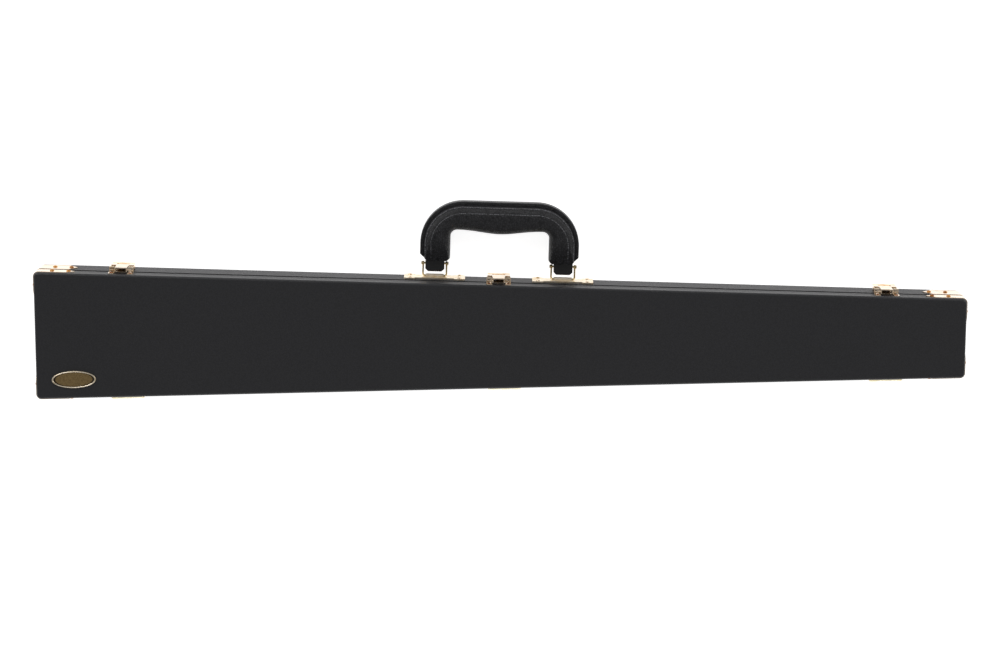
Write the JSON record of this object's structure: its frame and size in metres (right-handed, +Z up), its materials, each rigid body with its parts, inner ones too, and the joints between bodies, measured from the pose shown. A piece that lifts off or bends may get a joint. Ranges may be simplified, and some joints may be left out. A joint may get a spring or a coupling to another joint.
{
  "type": "bow case",
  "caption": "Long tapered hard case for bass bows, with a hinged lid, draw latches, corner straps and a carrying handle on wire stirrups",
  "frame": {"origin": "middle of the case's flat underside, where it lies on a table", "axes": "+X from the wide end to the narrow end, +Y towards the handle and latches, +Z up through the lid"},
  "size_m": [0.8212, 0.1768, 0.0453],
  "materials": {
    "wood": "bare poplar plywood, fine sanded",
    "grained_leatherette": "black leatherette with a pebbled grain",
    "smooth_leatherette": "black leatherette, nearly smooth, satin",
    "velvet": "short-pile wine-red velvet",
    "turn_tab_plastic": "matt black",
    "moulded_handle": "moulded, leather-grained black",
    "black_enamel": "black stoved enamel on a steel strip",
    "brass_wire": "polished drawn wire",
    "brass_plate": "bright brass plating on pressed steel",
    "aged_brass": "antiqued pressed brass"
  },
  "bodies": {
    "base": {"base_panel": "wood", "base_walls": "wood", "base_bottom_covering": "grained_leatherette", "base_side_covering": "grained_leatherette", "base_wall_lining": "velvet", "base_floor_pad": "velvet", "frog_rest": "velvet", "tip_rest": "velvet", "bow_tab_screws": "brass_plate", "hinge_pins": "brass_plate", "latch_fulcrum_pins": "brass_plate", "handle_plate_left": "brass_plate", "handle_plate_right": "brass_plate", "hinge_base_leaf_left": "brass_plate", "hinge_base_leaf_middle": "brass_plate", "hinge_base_leaf_right": "brass_plate", "latch_bracket_left": "brass_plate", "latch_bracket_middle": "brass_plate", "latch_bracket_right": "brass_plate", "base_corner_wide_handle": "brass_plate", "base_corner_wide_hinge": "brass_plate", "base_corner_narrow_handle": "brass_plate", "base_corner_narrow_hinge": "brass_plate"},
    "lid": {"lid_panel": "wood", "lid_walls": "wood", "lid_top_covering": "smooth_leatherette", "lid_side_covering": "grained_leatherette", "lid_wall_lining": "velvet", "lid_pad": "velvet", "badge_plate": "aged_brass", "hinge_lid_leaf_left": "brass_plate", "hinge_lid_leaf_middle": "brass_plate", "hinge_lid_leaf_right": "brass_plate", "latch_keeper_left": "brass_plate", "latch_keeper_middle": "brass_plate", "latch_keeper_right": "brass_plate", "lid_corner_wide_handle": "brass_plate", "lid_corner_wide_hinge": "brass_plate", "lid_corner_narrow_handle": "brass_plate", "lid_corner_narrow_hinge": "brass_plate"},
    "handle": {"handle_grip": "moulded_handle", "handle_tongues": "black_enamel", "handle_pins": "brass_wire"},
    "stirrup_left": {"stirrup_left": "brass_wire"},
    "stirrup_right": {"stirrup_right": "brass_wire"},
    "bow_tab_handle_side": {"bow_tab_handle_side": "turn_tab_plastic"},
    "bow_tab_hinge_side": {"bow_tab_hinge_side": "turn_tab_plastic"},
    "lever_left": {"latch_lever_left": "brass_plate", "latch_link_pin_left": "brass_plate"},
    "link_left": {"latch_link_left": "brass_plate"},
    "lever_middle": {"latch_lever_middle": "brass_plate", "latch_link_pin_middle": "brass_plate"},
    "link_middle": {"latch_link_middle": "brass_plate"},
    "lever_right": {"latch_lever_right": "brass_plate", "latch_link_pin_right": "brass_plate"},
    "link_right": {"latch_link_right": "brass_plate"}
  },
  "joints": [
    {"name": "lid_hinge", "type": "hinge", "parent": "base", "child": "lid", "pos_m": [0.00006, -0.04865, 0.028], "axis": [0.9997, 0.0262, 0], "range_deg": [0, 185]},
    {"name": "latch_lever_left", "type": "hinge", "parent": "base", "child": "lever_left", "pos_m": [-0.33392, 0.05791, 0.023], "axis": [0.9997, -0.0262, 0], "range_deg": [0, 80]},
    {"name": "latch_link_left", "type": "hinge", "parent": "lever_left", "child": "link_left", "pos_m": [-0.33393, 0.05751, 0.016], "axis": [0.9997, -0.0262, 0], "range_deg": [-100, 0]},
    {"name": "latch_lever_middle", "type": "hinge", "parent": "base", "child": "lever_middle", "pos_m": [-0.00172, 0.0492, 0.023], "axis": [0.9997, -0.0262, 0], "range_deg": [0, 80]},
    {"name": "latch_link_middle", "type": "hinge", "parent": "lever_middle", "child": "link_middle", "pos_m": [-0.00173, 0.0488, 0.016], "axis": [0.9997, -0.0262, 0], "range_deg": [-100, 0]},
    {"name": "latch_lever_right", "type": "hinge", "parent": "base", "child": "lever_right", "pos_m": [0.34008, 0.04023, 0.023], "axis": [0.9997, -0.0262, 0], "range_deg": [0, 80]},
    {"name": "latch_link_right", "type": "hinge", "parent": "lever_right", "child": "link_right", "pos_m": [0.34007, 0.03983, 0.016], "axis": [0.9997, -0.0262, 0], "range_deg": [-100, 0]},
    {"name": "stirrup_left", "type": "hinge", "parent": "base", "child": "stirrup_left", "pos_m": [-0.00175, 0.04835, 0.013], "axis": [0.9997, -0.0262, 0], "range_deg": [-60, 60]},
    {"name": "stirrup_right", "type": "hinge", "parent": "base", "child": "stirrup_right", "pos_m": [-0.00175, 0.04835, 0.013], "axis": [0.9997, -0.0262, 0], "range_deg": [-60, 60]},
    {"name": "handle_pivot", "type": "hinge", "parent": "stirrup_left", "child": "handle", "pos_m": [-0.00145, 0.05949, 0.013], "axis": [-0.9997, 0.0262, 0], "range_deg": [-85, 85]},
    {"name": "bow_tab_handle_side", "type": "hinge", "parent": "base", "child": "bow_tab_handle_side", "pos_m": [-0.215, 0.009, 0.021], "axis": [0, 0, 1], "range_deg": [0, 90]},
    {"name": "bow_tab_hinge_side", "type": "hinge", "parent": "base", "child": "bow_tab_hinge_side", "pos_m": [-0.215, -0.009, 0.021], "axis": [0, 0, -1], "range_deg": [0, 90]}
  ],
  "couplings": [
    {"joint": "latch_link_left", "follows": "latch_lever_left", "ratio": -1.25},
    {"joint": "latch_link_middle", "follows": "latch_lever_middle", "ratio": -1.25},
    {"joint": "latch_link_right", "follows": "latch_lever_right", "ratio": -1.25},
    {"joint": "stirrup_right", "follows": "stirrup_left", "ratio": 1}
  ]
}
